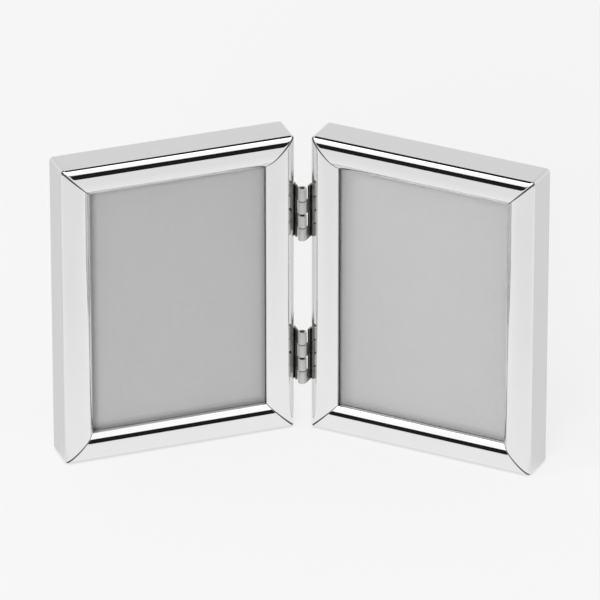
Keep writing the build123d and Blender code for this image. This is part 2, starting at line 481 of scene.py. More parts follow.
def hinge_heights(sizes):
    """The height of the middle of each hinge."""
    return {"lower": sizes.end_distance, "upper": FRAME_HEIGHT - sizes.end_distance}


class Finish:
    """A material in the making, with one shader and helpers for its patterns."""

    def __init__(self, name, **values):
        self.material = bpy.data.materials.new(name)
        self.material.use_nodes = True
        self.tree = self.material.node_tree
        self.shader = self.tree.nodes["Principled BSDF"]
        self.surface = Term(self.shader.outputs["BSDF"])
        self.place = flow(self.tree, "ShaderNodeTexCoord", output="Object")
        for socket, value in values.items():
            self.set(socket.replace("_", " "), value)

    def set(self, socket, value):
        target = self.shader.inputs[socket]
        if isinstance(value, Term):
            self.tree.links.new(value.socket, target)
        else:
            target.default_value = value

    def show(self, surface):
        """Let a mix of shaders be the surface."""
        output = self.tree.nodes["Material Output"]
        self.tree.links.new(surface.socket, output.inputs["Surface"])

    def stretch(self, x, y, z):
        """Object coordinates with a pattern size for each direction."""
        return flow(self.tree, "ShaderNodeMapping", {"Vector": self.place, "Scale": (x, y, z)})

    def noise(self, scale, detail=2.0, roughness=0.5, place=None):
        look = {"Scale": scale, "Detail": detail, "Roughness": roughness}
        return flow(self.tree, "ShaderNodeTexNoise", {"Vector": place or self.place, **look})

    def spread(self, value, low, high, start=0.3, end=0.7):
        """Map a pattern to the range from low to high."""
        ends = {"From Min": start, "From Max": end, "To Min": low, "To Max": high}
        return flow(self.tree, "ShaderNodeMapRange", {"Value": value, **ends})

    def mix(self, factor, first, second, kind="RGBA"):
        """Two colours or numbers mixed by a pattern."""
        parts = {"Factor": factor, "A": first, "B": second}
        return flow(self.tree, "ShaderNodeMix", parts, "Result", data_type=kind)

    def tints(self, pattern, tint, first, second):
        """A colour that a pattern shades from one strength to another."""
        return self.mix(self.spread(pattern, 0, 1), shade(tint, first), shade(tint, second))

    def bump(self, height, strength, distance):
        relief = {"Height": height, "Strength": strength, "Distance": distance}
        self.set("Normal", flow(self.tree, "ShaderNodeBump", relief))

    def coat(self, pattern, base, rough, relief):
        """A colour, and the roughness and the relief that one pattern gives."""
        self.set("Base Color", base)
        self.set("Roughness", self.spread(pattern, *rough))
        self.bump(pattern, *relief)
        return self.material

    def attribute(self, name, output="Fac"):
        return flow(self.tree, "ShaderNodeAttribute", output=output, attribute_name=name)


def shade(tint, factor):
    """A colour made darker or lighter, with full alpha."""
    return tuple(min(1.0, channel * factor) for channel in tint) + (1.0,)


def grey(level):
    """A grey with full alpha."""
    return (level, level, level, 1.0)


def polished_silver(sizes):
    """Silver plate, mirror-bright on the front and brushed on the sides and the back.

    The front has faint cloth marks, tarnish is left in the seams, and shade is painted on the glass lips."""
    finish = Finish("silver_plate", Metallic=1.0)
    clouds = finish.noise(70, detail=4, roughness=0.6)
    wipes = finish.noise(1.0, detail=3, place=finish.stretch(900, 900, 120))
    grain = finish.attribute("grain", "Vector")
    hairs = finish.noise(1.0, detail=3, roughness=0.6, place=grain)
    seam, polish = finish.attribute("seam"), finish.attribute("polish")
    worn = finish.tints(clouds, sizes.plate, 1.0, 0.975)
    brushed = finish.tints(hairs, sizes.plate, 0.965, 1.02)
    plate = finish.mix(polish, brushed, worn)
    # Where the seam mark is set the plate takes the tarnish colour: tarnish in the seams, painted shade on the
    # lips
    finish.set("Base Color", finish.mix(seam, plate, shade(sizes.tarnish, 1.0)))
    haze = finish.spread(clouds, 0.03, 0.055) + finish.spread(wipes, 0.0, 0.02)
    satin = finish.spread(hairs, sizes.satin - 0.04, sizes.satin + 0.06)
    finish.set("Roughness", finish.mix(polish, satin, seam * 0.25 + haze, "FLOAT"))
    scratches = finish.spread(hairs, 0.0, 0.22, 0.0, 1.0)
    waves = finish.spread(finish.noise(260, detail=3), 0.0, 0.04, 0.0, 1.0)
    finish.bump(finish.mix(polish, scratches, waves, "FLOAT"), 1.0, 0.00002)
    return finish.material


def satin_steel(name, tint, grain, rough, dark=None):
    """Brushed steel whose fine grain runs along the directions with the small numbers.

    Given a dark tint, that tint paints shade on all but what the attribute "unshaded" marks, which stays bright."""
    finish = Finish(name, Metallic=1.0)
    streaks = finish.noise(1.0, detail=4, roughness=0.65, place=finish.stretch(*grain))
    patches = finish.noise(420, detail=3)
    base = finish.tints(streaks, tint, 0.8, 1.12)
    if dark is not None:
        # Painted shade: the dark tint stands for the shade in the narrow wedge between the frames
        plate_shade = finish.tints(patches, dark, 0.7, 1.3)
        base = finish.mix(finish.attribute("rubbed"), plate_shade, base)
    finish.set("Base Color", base)
    wear = finish.spread(streaks, rough, rough + 0.1) + finish.spread(patches, 0, 0.07)
    finish.set("Roughness", wear)
    finish.bump(streaks, 0.18, 0.00003)
    return finish.material


def clear_glass():
    """Float glass that lets the light through to the card behind it."""
    finish = Finish(
        "clear_glass",
        Base_Color=(0.988, 0.991, 0.99, 1.0),
        Roughness=0.0,
        IOR=1.5,
        Transmission_Weight=1.0,
    )
    shadow = flow(finish.tree, "ShaderNodeLightPath", output="Is Shadow Ray")
    through = (0.972, 0.975, 0.974, 1.0)
    clear = flow(finish.tree, "ShaderNodeBsdfTransparent", {"Color": through})
    finish.show(mix_shaders(shadow, finish.surface, clear))
    return finish.material


def bare_card(tint):
    """Smooth grey card with the faint mottle of its pulp."""
    finish = Finish("photo_paper", Specular_IOR_Level=0.3)
    pulp = finish.noise(900, detail=4, roughness=0.7)
    cloud = finish.spread(finish.noise(90, detail=3), 0, 0.35)
    base = finish.mix(cloud, finish.tints(pulp, tint, 0.95, 1.04), shade(tint, 0.95))
    return finish.coat(pulp, base, rough=(0.5, 0.65), relief=(0.15, 0.00004))


def grey_packing(tint):
    """Recycled greyboard with flecks."""
    finish = Finish("packing_card", Specular_IOR_Level=0.2)
    pulp = finish.noise(700, detail=5, roughness=0.7)
    flecks = finish.spread(finish.noise(2600, detail=1), 0, 1, 0.66, 0.72)
    base = finish.mix(flecks, finish.tints(pulp, tint, 0.85, 1.12), shade(tint, 0.4))
    return finish.coat(pulp, base, rough=(0.8, 0.95), relief=(0.3, 0.00008))


def brown_board(tint):
    """Hardboard with short fibres."""
    finish = Finish("back_board", Specular_IOR_Level=0.25)
    fibre = finish.noise(1.0, detail=5, roughness=0.7, place=finish.stretch(700, 700, 1800))
    base = finish.tints(fibre, tint, 0.7, 1.25)
    return finish.coat(fibre, base, rough=(0.6, 0.8), relief=(0.3, 0.00008))


def black_velvet(tint):
    """Short dark pile that shines at its edges and shows where it was stroked."""
    finish = Finish(
        "black_velvet",
        Specular_IOR_Level=0.1,
        Sheen_Weight=0.55,
        Sheen_Roughness=0.35,
        Sheen_Tint=(0.5, 0.5, 0.54, 1.0),
    )
    pile = finish.noise(3500, detail=2)
    strokes = finish.noise(1.0, detail=3, roughness=0.6, place=finish.stretch(120, 120, 45))
    base = finish.tints(pile, tint, 0.55, 1.5)
    finish.set("Base Color", finish.mix(finish.spread(strokes, 0, 0.6), base, shade(tint, 2.4)))
    finish.set("Roughness", finish.spread(strokes, 0.85, 1.0))
    finish.bump(pile, 0.6, 0.0002)
    return finish.material


def cast_zinc():
    """Dull grey casting for the keys inside the mitres."""
    finish = Finish("corner_key", Metallic=1.0)
    skin = finish.noise(500, detail=5, roughness=0.65)
    dark, light = (0.3, 0.3, 0.31, 1.0), (0.42, 0.42, 0.43, 1.0)
    base = finish.mix(finish.spread(skin, 0, 1), dark, light)
    return finish.coat(skin, base, rough=(0.45, 0.65), relief=(0.3, 0.00008))


def rail_outline(sizes):
    """A rail's section as points (inward, forward), with its edges rounded."""
    half_points = 24
    fall_power = 2.7
    edge, fine = sizes.rear_edge, sizes.fine_edge
    half = sizes.width / 2
    crest = sizes.side_depth + sizes.bead_height
    points = []
    # From the crest to the sight edge the bead falls ever faster, and to the outer side it is
    # a quarter of an ellipse
    for step in range(half_points, 0, -1):
        inward = step / half_points
        fall = (sizes.bead_height - sizes.sight_rise) * inward**fall_power
        points.append((half + half * inward, crest - fall))
    for step in range(half_points + 1):
        angle = math.pi / 2 * (1 + step / half_points)
        rise = sizes.bead_height * math.sin(angle)
        points.append((half + half * math.cos(angle), sizes.side_depth + rise))
    points += arc((edge, edge), edge, 180, 270, 6)
    points += arc((sizes.rebate - fine, fine), fine, 270, 360, 3)
    points.append((sizes.rebate, sizes.seat_depth))
    points += arc((sizes.width - fine, sizes.seat_depth + fine), fine, 270, 360, 3)
    # The lip has points where its painted shade is full and where it ends
    for stain in (sizes.lip_stain, sizes.stile_shade):
        points.append((sizes.width, sizes.seat_depth + stain / 2))
        points.append((sizes.width, sizes.seat_depth + stain))
    return points


def mitred_rail_tree():
    """A section swept along a rail, cut at half a right angle at both ends.

    Round the corner each line of the section turns on an arc of its own, so that the front
    folds softly from rail to rail, and right at the cut it rounds off into the seam."""
    # Heights over which the side turns into the front, and its brushing into polish
    front_blend, polish_blend = 0.0006, 0.00015
    # How near the sight edge a point belongs to the glass lip
    lip_band = 0.0002
    # How many stain widths a seam is dark at the outer side, how many fewer at the glass, and
    # how far from the cut the stain has faded
    stain_outer, stain_loss, stain_end = 1.7, 1.25, 1.7
    # How fast the bead wanders along a rail and across it, and the level that it hangs from
    wander_along, wander_across, wander_level = 55.0, 160.0, 0.8
    # How fine the brushing is along a rail and across it
    grain_along, grain_across = 60.0, 4200.0
    sharp_angle = math.radians(33)

    inputs = {"Section": "Object", "Columns": "Int"}
    inputs |= dict.fromkeys(("Length", *RAIL_INPUTS, "Seed"), "Float")
    inputs |= dict.fromkeys(("Start", "Inward", "Along", "Forward"), "Vector")
    tree, given = node_tree("Mitred rail", inputs | {"Finish": "Material"})
    line = flow(tree, "GeometryNodeCurvePrimitiveLine", {"End": (1, 0, 0)})
    path = flow(tree, "GeometryNodeResampleCurve", {"Curve": line, "Count": given["Columns"]})
    mesh, run, inward, forward = sweep(tree, path, given["Section"], True)
    total, width, radius = given["Length"], given["Width"], given["Corner radius"]
    side_depth, seam = given["Side depth"], given["Seam"]

    # The arc that a line turns on: the corner's own at the outer side, the fold's on the
    # front, and none at the sight edge
    front = forward.ramp(side_depth, front_blend)
    past_crest = (inward * 2.0 / width - 1.0).between(0.0, 1.0)
    fold = given["Fold"] * (1.0 - past_crest) * front
    bend = fold.at_least(radius - inward)

    # Where the cut is, and how far from it each column lies: close together near the ends
    cut = inward + bend * (1.0 - MITRE_COSINE)
    from_cut = (total * 0.5 - cut) * ((1.0 - abs(run * 2.0 - 1.0)) ** 3.0)
    along = cut + from_cut
    before = (inward + bend - along).at_least(0.0)
    inward_round = inward + bend - (bend * bend - before * before).at_least(0.0).root()

    # Rounding into the seam, towards the core of the section
    to_core = width * 0.5 - inward
    to_core_forward = side_depth * 0.5 - forward
    far = (to_core * to_core + to_core_forward * to_core_forward).root()
    near = (seam - from_cut * MITRE_COSINE).at_least(0.0)
    sink = (seam - (seam * seam - near * near).at_least(0.0).root()) / far * front
    inward_seam = to_core * sink
    along = along + inward_seam
    other_end = run.above(0.5)
    along = along + (total - along * 2.0) * other_end

    # The hand-polished bead wanders a little from true
    spot = combine(along * wander_along, inward * wander_across, given["Seed"])
    wander = flow(tree, "ShaderNodeTexNoise", {"Vector": spot, "Scale": 1.0, "Detail": 1.0})
    raised = (forward - side_depth).at_least(0.0) / given["Bead height"]
    wave = (wander - wander_level) * given["Ripple"] * raised * raised

    place = given["Start"]
    steps = {
        "Inward": inward_round + inward_seam,
        "Along": along,
        "Forward": forward + to_core_forward * sink + wave,
    }
    for way, amount in steps.items():
        stride = {0: given[way], "Scale": amount}
        step = flow(tree, "ShaderNodeVectorMath", stride, operation="SCALE")
        place = flow(tree, "ShaderNodeVectorMath", {0: place, 1: step}, operation="ADD")
    mesh = flow(tree, "GeometryNodeSetPosition", {"Geometry": mesh, "Position": place})

    # The seam opens towards the outside of the frame and closes towards the glass
    opening = given["Seam stain"] * (stain_outer - inward / width * stain_loss)
    stain = (stain_end - from_cut / opening).between(0.0, 1.0) * front
    # The glass lip gets painted shade, full where it meets the glass and gone at the given height
    risen = (forward - given["Seat depth"]) / given["Lip stain"]
    at_glass = inward.above(width - lip_band)
    lip = (2.0 - risen * 2.0).between(0.0, 1.0) * at_glass
    polish = forward.ramp(side_depth, polish_blend).at_least(at_glass)
    # Fine lines of brushing run along the rail
    brushing = inward * grain_across + given["Seed"]
    # The seam mark holds the seams' tarnish together with the painted shade on the glass lip
    marks = {
        "seam": ("FLOAT", stain.at_least(lip)),
        "polish": ("FLOAT", polish),
        "grain": ("FLOAT_VECTOR", combine(along * grain_along, brushing, forward * grain_across)),
    }
    for name, (kind, value) in marks.items():
        mark = {"Geometry": mesh, "Name": name, "Value": value}
        mesh = flow(
            tree, "GeometryNodeStoreNamedAttribute", mark, data_type=kind, domain="POINT"
        )
    mesh = flow(tree, "GeometryNodeSetShadeSmooth", {"Geometry": mesh})
    angle = flow(tree, "GeometryNodeInputMeshEdgeAngle", output="Unsigned Angle")
    sharp = {"Geometry": mesh, "Selection": angle.above(sharp_angle), "Shade Smooth": False}
    mesh = flow(tree, "GeometryNodeSetShadeSmooth", sharp, domain="EDGE")
    close_tree(tree, mesh, given["Finish"])
    return tree


def turned_pieces_tree():
    """A section turned on a lathe, set on each of several points."""
    inputs = {"Section": "Object", "Places": "Object", "Sides": "Int", "Axis": "Vector"}
    tree, given = node_tree("Turned pieces", inputs | {"Finish": "Material"})
    ring = flow(tree, "GeometryNodeCurvePrimitiveCircle", {"Resolution": given["Sides"]})
    mesh, factor, radius, height = sweep(tree, ring, given["Section"], False)
    turn = factor * (2 * math.pi)
    place = combine(radius * turn.sum("COSINE"), radius * turn.sum("SINE"), height)
    mesh = flow(tree, "GeometryNodeSetPosition", {"Geometry": mesh, "Position": place})
    mesh = flow(tree, "GeometryNodeMergeByDistance", {"Geometry": mesh, "Distance": 1e-6})
    mesh = flow(tree, "GeometryNodeSetShadeSmooth", {"Geometry": mesh})
    points = flow(tree, "GeometryNodeObjectInfo", {"Object": given["Places"]}, "Geometry")
    aim = flow(tree, "FunctionNodeAlignRotationToVector", {"Vector": given["Axis"]}, axis="Z")
    row = {"Points": points, "Instance": mesh, "Rotation": aim}
    close_tree(tree, flow(tree, "GeometryNodeInstanceOnPoints", row), given["Finish"])
    return tree


def rails_of(sizes):
    """Each rail's start across and up, its inward and its running direction and its length."""
    wide, high = sizes.frame_width, FRAME_HEIGHT
    return {
        "bottom_rail": (0, 0, (0, 0, 1), (1, 0, 0), wide),
        "outer_stile": (wide, 0, (-1, 0, 0), (0, 0, 1), high),
        "top_rail": (wide, high, (0, 0, -1), (-1, 0, 0), wide),
        "hinge_stile": (0, high, (1, 0, 0), (0, 0, -1), high),
    }


def pivots_of(sizes):
    """Where each rail's turn button pivots on the rear plane, with its inward direction."""
    half = sizes.rebate / 2
    for rail, (across, up, inward, along, run) in rails_of(sizes).items():
        spot = local(across, 0, up) + Vector(along) * (run / 2) + Vector(inward) * half
        yield rail, spot, Vector(inward)


class PHOTOFRAME_OT_rails(bpy.types.Operator):
    """Make the eight mitred rails in polished silver plate"""

    bl_idname = "photo_frame.rails"
    bl_label = "Silver rails"

    def execute(self, context):
        sizes = context.scene.photo_frame_rails
        # Steps between the seeds of two rails and of the two frames
        rail_seed, side_seed = 7.3, 31.7
        columns = 81
        tree = mitred_rail_tree()
        section = outline_curve("rail_section", rail_outline(sizes), True)
        values = {name: getattr(sizes, name.lower().replace(" ", "_")) for name in RAIL_INPUTS}
        values |= {"Section": section, "Columns": columns, "Forward": (0, -1, 0)}
        values["Finish"] = polished_silver(sizes)
        for side in SIDES:
            for order, (rail, layout) in enumerate(rails_of(sizes).items()):
                across, up, values["Inward"], values["Along"], values["Length"] = layout
                values["Start"] = local(across, 0, up)
                values["Seed"] = order * rail_seed + SIDES.index(side) * side_seed
                # The hinge stiles get a taller band of painted shade on their glass lips
                by_hinge = rail == "hinge_stile"
                values["Lip stain"] = sizes.stile_shade if by_hinge else sizes.lip_stain
                piece = grow(f"{side}_silver_{rail}", tree, values)
                settle(piece, side, "silver_plate", f"{side}_{rail}")
                weigh_normals(piece)
        bpy.data.objects.remove(section)
        return {"FINISHED"}


class PHOTOFRAME_OT_picture_packs(bpy.types.Operator):
    """Make the glass and finish the cards, boards and keys inside the frames"""

    bl_idname = "photo_frame.picture_packs"
    bl_label = "Glass and picture packs"

    def execute(self, context):
        sizes = context.scene.photo_frame_pack
        middle = context.scene.photo_frame_rails.frame_width / 2, FRAME_HEIGHT / 2
        glass = clear_glass()
        solids = {
            "photo_card": bare_card(sizes.paper),
            "packing_card": grey_packing(sizes.greyboard),
            "back_board": brown_board(sizes.board),
            "corner_keys": cast_zinc(),
        }
        for side in SIDES:
            self.add_glass(side, sizes, middle, glass)
            for node, finish in solids.items():
                solid = frame["nodes"][f"{side}_{node}"].data
                solid.materials.clear()
                solid.materials.append(finish)
        return {"FINISHED"}

    def add_glass(self, side, sizes, middle, finish):
        """A pane with ground-off edges."""
        levels = (
            (sizes.glass_rear, sizes.glass_edge),
            (sizes.glass_rear + sizes.glass_edge, 0),
            (sizes.glass_front - sizes.glass_edge, 0),
            (sizes.glass_front, sizes.glass_edge),
        )
        corners = ((-1, -1), (1, -1), (1, 1), (-1, 1))
        vertices = []
        for forward, inset in levels:
            half = sizes.glass_width / 2 - inset, sizes.glass_height / 2 - inset
            for corner in corners:
                across = middle[0] + corner[0] * half[0]
                vertices.append(local(across, forward, middle[1] + corner[1] * half[1]))
        count = len(corners)
        faces = [tuple(range(count)), tuple(range(3 * count, 4 * count))]
        faces += grid_faces(len(levels), count, close_columns=True)
        pane = mesh_piece(f"{side}_clear_pane", vertices, faces, finish)
        pane.data.shade_flat()
        settle(pane, side, "clear_glass", f"{side}_glass")


class PHOTOFRAME_OT_velvet_backs(bpy.types.Operator):
    """Make the velvet skins of the back boards"""

    bl_idname = "photo_frame.velvet_backs"
    bl_label = "Velvet backs"

    def execute(self, context):
        sizes = context.scene.photo_frame_pack
        finish = black_velvet(sizes.velvet)
        for side in SIDES:
            self.add_velvet(side, sizes, context.scene.photo_frame_rails, finish)
        return {"FINISHED"}

    def add_velvet(self, side, sizes, rails, finish):
        """A sheet of pile, full in the middle and turned down at its edges."""
        # How fine the pile is, how much coarser its strokes are, and the share of each
        pile_scale, stroke_scale = 900, 0.13
        pile_share, stroke_share = 0.6, 0.4
        edge_drop = 0.7
        wide, high, thick = sizes.velvet_width, sizes.velvet_height, sizes.velvet_thickness
        columns, rows = round(wide / sizes.velvet_step), round(high / sizes.velvet_step)
        left, foot = (rails.frame_width - wide) / 2, (FRAME_HEIGHT - high) / 2
        top = thick - sizes.nap
        vertices = []
        for row in range(rows + 1):
            for column in range(columns + 1):
                across, up = wide * column / columns, high * row / rows
                to_edge = min(across, wide - across, up, high - up)
                drop = max(0.0, 1 - to_edge / thick) ** 2
                spot = Vector((across, up, 0)) * pile_scale
                pile = noise.noise(spot) * pile_share
                pile += noise.noise(spot * stroke_scale) * stroke_share
                rise = top * (1 - edge_drop * drop) + sizes.nap * pile
                vertices.append(local(left + across, thick - rise, foot + up))
        wide_row = columns + 1
        under = len(vertices)
        rim = list(range(wide_row))
        rim += [row * wide_row + columns for row in range(1, rows + 1)]
        rim += [rows * wide_row + column for column in range(columns - 1, -1, -1)]
        rim += [row * wide_row for row in range(rows - 1, 0, -1)]
        for index in rim:
            across, up = (index % wide_row) * wide / columns, (index // wide_row) * high / rows
            vertices.append(local(left + across, thick, foot + up))
        faces = grid_faces(rows + 1, wide_row)
        for step, index in enumerate(rim):
            after = (step + 1) % len(rim)
            faces.append((index, rim[after], under + after, under + step))
        faces.append(tuple(range(under, len(vertices))))
        skin = mesh_piece(f"{side}_velvet_skin", vertices, faces, finish)
        settle(skin, side, "black_velvet", f"{side}_velvet_back")


class PHOTOFRAME_OT_hinges(bpy.types.Operator):
    """Make the leaves of the two hinges, rolled from sheet"""

    bl_idname = "photo_frame.hinges"
    bl_label = "Hinge leaves"

    def execute(self, context):
        sizes = context.scene.photo_frame_hinges
        grain = (2600, 2600, 160)
        # The leaves' plates take painted shade, and only their barrels keep the bright steel
        finish = satin_steel("hinge_steel", sizes.steel, grain, rough=0.26, dark=sizes.plate_shade)
        for hinge, height in hinge_heights(sizes).items():
            for side in SIDES:
                self.add_leaf(hinge, side, height, sizes, finish)
        return {"FINISHED"}

    def add_leaf(self, hinge, side, height, sizes, finish):
        """A plate on the stile whose fingers are rolled round the pin."""
        curl_steps = 60
        radius = sizes.knuckle_radius
        knuckle = (sizes.length - 2 * sizes.knuckle_gap - sizes.middle_gap) / 4
        levels = []
        low = height - sizes.length / 2
        for gap in (sizes.knuckle_gap, sizes.middle_gap, sizes.knuckle_gap, 0):
            levels += [low, low + knuckle]
            low += knuckle + gap
        # The barrel keeps the bright steel, and the plate gets painted shade from just behind it
        shade_start = radius * 0.6
        path = [(radius, sizes.reach), (radius, sizes.notch), (radius, shade_start), (radius, 0)]
        turn = math.degrees(sizes.curl)
        path += list(arc((0, 0), radius, 0, -turn, curl_steps))[1:]
        vertices = [(*point, level) for point in path for level in levels]
        rubbed = [float(point[1] < shade_start / 2) for point in path for level in levels]
        tall = len(levels)
        faces = []
        for index, face in enumerate(grid_faces(len(path), tall)):
            step, band = divmod(index, tall - 1)
            own_knuckle = band % 2 == 0 and band // 2 in KNUCKLES[side]
            # The plate is whole, and only the leaf's own knuckles go on round the pin
            if step == 0 or own_knuckle:
                faces.append(face)
        used = sorted({index for face in faces for index in face})
        renumber = {old: new for new, old in enumerate(used)}
        faces = [tuple(renumber[index] for index in face) for face in faces]
        vertices = [vertices[index] for index in used]
        leaf = mesh_piece(f"{hinge}_satin_{side}_leaf", vertices, faces, finish)
        mark = leaf.data.attributes.new("rubbed", "FLOAT", "POINT")
        mark.data.foreach_set("value", [rubbed[index] for index in used])
        wall = leaf.modifiers.new("Wall", "SOLIDIFY")
        wall.thickness = sizes.thickness
        wall.use_even_offset = True
        # The sheet grows from the stile's face and the barrel's outside towards the pin
        outward = leaf.data.polygons[0].normal.x > 0
        wall.offset = -1 if outward else 1
        edge = leaf.modifiers.new("Edge", "BEVEL")
        edge.width = sizes.leaf_edge
        edge.segments = 2
        edge.limit_method = "ANGLE"
        edge.angle_limit = math.radians(50)
        freeze(leaf)
        settle(leaf, side, "hinge_steel", f"{hinge}_hinge_{side}_leaf")
        weigh_normals(leaf)


class PHOTOFRAME_OT_pins_and_rivets(bpy.types.Operator):
    """Make the hinge pins, the hinge rivets and the rivets of the turn buttons"""

    bl_idname = "photo_frame.pins_and_rivets"
    bl_label = "Pins and rivets"

    def execute(self, context):
        hinges = context.scene.photo_frame_hinges
        buttons = context.scene.photo_frame_buttons
        self.tree = turned_pieces_tree()
        # The pins' dark colour is painted shade for the gaps between the knuckles
        dark = satin_steel("pin_steel", hinges.pin_shade, grain=(900, 900, 900), rough=0.35)
        bright = satin_steel("rivet_steel", buttons.steel, grain=(1500, 1500, 1500), rough=0.16)

        pin = self.pin_section(hinges.pin_radius, hinges.length / 2 - hinges.pin_recess)
        rivet = self.rivet_section(hinges, 0)
        leaf_face = hinges.knuckle_radius - hinges.thickness
        for hinge, height in hinge_heights(hinges).items():
            place = (hinge + "_steel_pin", "left", "hinge_steel", hinge + "_hinge_pin")
            self.add_row(pin, [(0, 0, height)], (0, 0, 1), dark, *place)
            half = hinges.rivet_spacing / 2
            levels = (height - half, height + half)
            spots = [(leaf_face, hinges.rivet_setback, level) for level in levels]
            for side in SIDES:
                node = f"{hinge}_hinge_{side}_rivets"
                place = (f"{hinge}_{side}_rivet_pair", side, "hinge_steel", node)
                self.add_row(rivet, spots, (-1, 0, 0), bright, *place)

        catch = self.rivet_section(buttons, buttons.rivet_seat)
        spots = [spot for rail, spot, inward in pivots_of(context.scene.photo_frame_rails)]
        for side in SIDES:
            place = (side + "_catch_rivets", side, "button_steel", side + "_button_rivets")
            self.add_row(catch, spots, (0, 1, 0), bright, *place)
        for helper in (pin, rivet, catch):
            bpy.data.objects.remove(helper)
        return {"FINISHED"}

    def pin_section(self, radius, half):
        """Half the section of a pin with rounded ends."""
        round_off = radius * 0.3
        points = [(0, -half)]
        points += arc((radius - round_off, -half + round_off), round_off, -90, 0, 4)
        points += arc((radius - round_off, half - round_off), round_off, 0, 90, 4)
        points.append((0, half))
        return outline_curve("pin_section", points, False)

    def rivet_section(self, sizes, head_seat):
        """Half the section of a rivet with a domed head and a flattened tail."""
        dome_points = 9
        radius, head = sizes.rivet_radius, sizes.rivet_head
        tail_seat = -sizes.rivet_grip
        tail_end = tail_seat - sizes.rivet_tail
        top = head_seat + sizes.rivet_rise
        round_off = (tail_seat - tail_end) * 0.45
        rim = (top - head_seat) * 0.25
        points = [(0, tail_end)]
        points += arc((head - round_off, tail_end + round_off), round_off, -90, 0, 4)
        points += [(head, tail_seat), (radius, tail_seat), (radius, head_seat), (head, head_seat)]
        for step in range(dome_points):
            angle = math.pi / 2 * step / dome_points
            rise = (top - head_seat - rim) * math.sin(angle)
            points.append((head * math.cos(angle), head_seat + rim + rise))
        points.append((0, top))
        return outline_curve("rivet_section", points, False)

    def add_row(self, section, spots, axis, finish, name, side, slot, node):
        """Turn a section and set it on its spots."""
        sides = 40
        places = add_object("places", plain_mesh("places", spots, []))
        values = {"Section": section, "Places": places, "Sides": sides}
        piece = grow(name, self.tree, values | {"Axis": axis, "Finish": finish})
        bpy.data.objects.remove(places)
        face_outwards(piece.data)
        piece.data.set_sharp_from_angle(angle=math.radians(40))
        settle(piece, side, slot, node)


class PHOTOFRAME_OT_turn_buttons(bpy.types.Operator):
    """Make the stamped turn buttons on the backs of the frames"""

    bl_idname = "photo_frame.turn_buttons"
    bl_label = "Turn buttons"

    def execute(self, context):
        sizes = context.scene.photo_frame_buttons
        finish = satin_steel("button_steel", sizes.steel, grain=(1700, 300, 1700), rough=0.2)
        for side in SIDES:
            for rail, spot, inward in pivots_of(context.scene.photo_frame_rails):
                label = rail.split("_")[0]
                self.add_button(side, label, spot, inward, sizes, finish)
        return {"FINISHED"}

    def add_button(self, side, label, pivot, inward, sizes, finish):
        """A plate round the rivet whose toe reaches inward, with a rounded outer edge."""
        steps = 96
        # Points lie closer together towards the toe
        crowding = 1.6
        edge, fine = sizes.edge, sizes.edge * 0.3
        bottom, top = sizes.gap, sizes.gap + sizes.thickness
        rows = [(None, bottom), (fine, bottom), (0, bottom + fine)]
        rows += arc((edge, top - edge), edge, 180, 90, 5)
        rows.append((None, top))
        sideways = Vector((0, 1, 0)).cross(inward)
        vertices = []
        for inset, level in rows:
            for step in range(steps):
                turn = 2 * step / steps - 1
                angle = math.pi * math.copysign(abs(turn) ** crowding, turn)
                reach = sizes.hole if inset is None else self.outline(angle, inset, sizes)
                offset = inward * (reach * math.cos(angle)) + sideways * (reach * math.sin(angle))
                vertices.append(pivot + offset + Vector((0, level, 0)))
        faces = grid_faces(len(rows), steps, close_rows=True, close_columns=True)
        button = mesh_piece(f"{side}_{label}_catch", vertices, faces, finish)
        button.data.set_sharp_from_angle(angle=math.radians(50))
        settle(button, side, "button_steel", f"{side}_turn_button_{label}")
        weigh_normals(button)

    def outline(self, angle, inset, sizes):
        """Distance from the pivot to the edge of two joined rounds, drawn in by an inset."""
        heel, toe = sizes.heel - inset, sizes.toe - inset
        apart = sizes.reach - sizes.toe
        angle = abs(angle)
        touch = math.acos((sizes.heel - sizes.toe) / apart)
        if angle >= touch:
            return heel
        toe_touch = math.atan2(toe * math.sin(touch), apart + toe * math.cos(touch))
        if angle > toe_touch:
            return heel / math.cos(touch - angle)
        return apart * math.cos(angle) + math.sqrt(toe**2 - (apart * math.sin(angle)) ** 2)


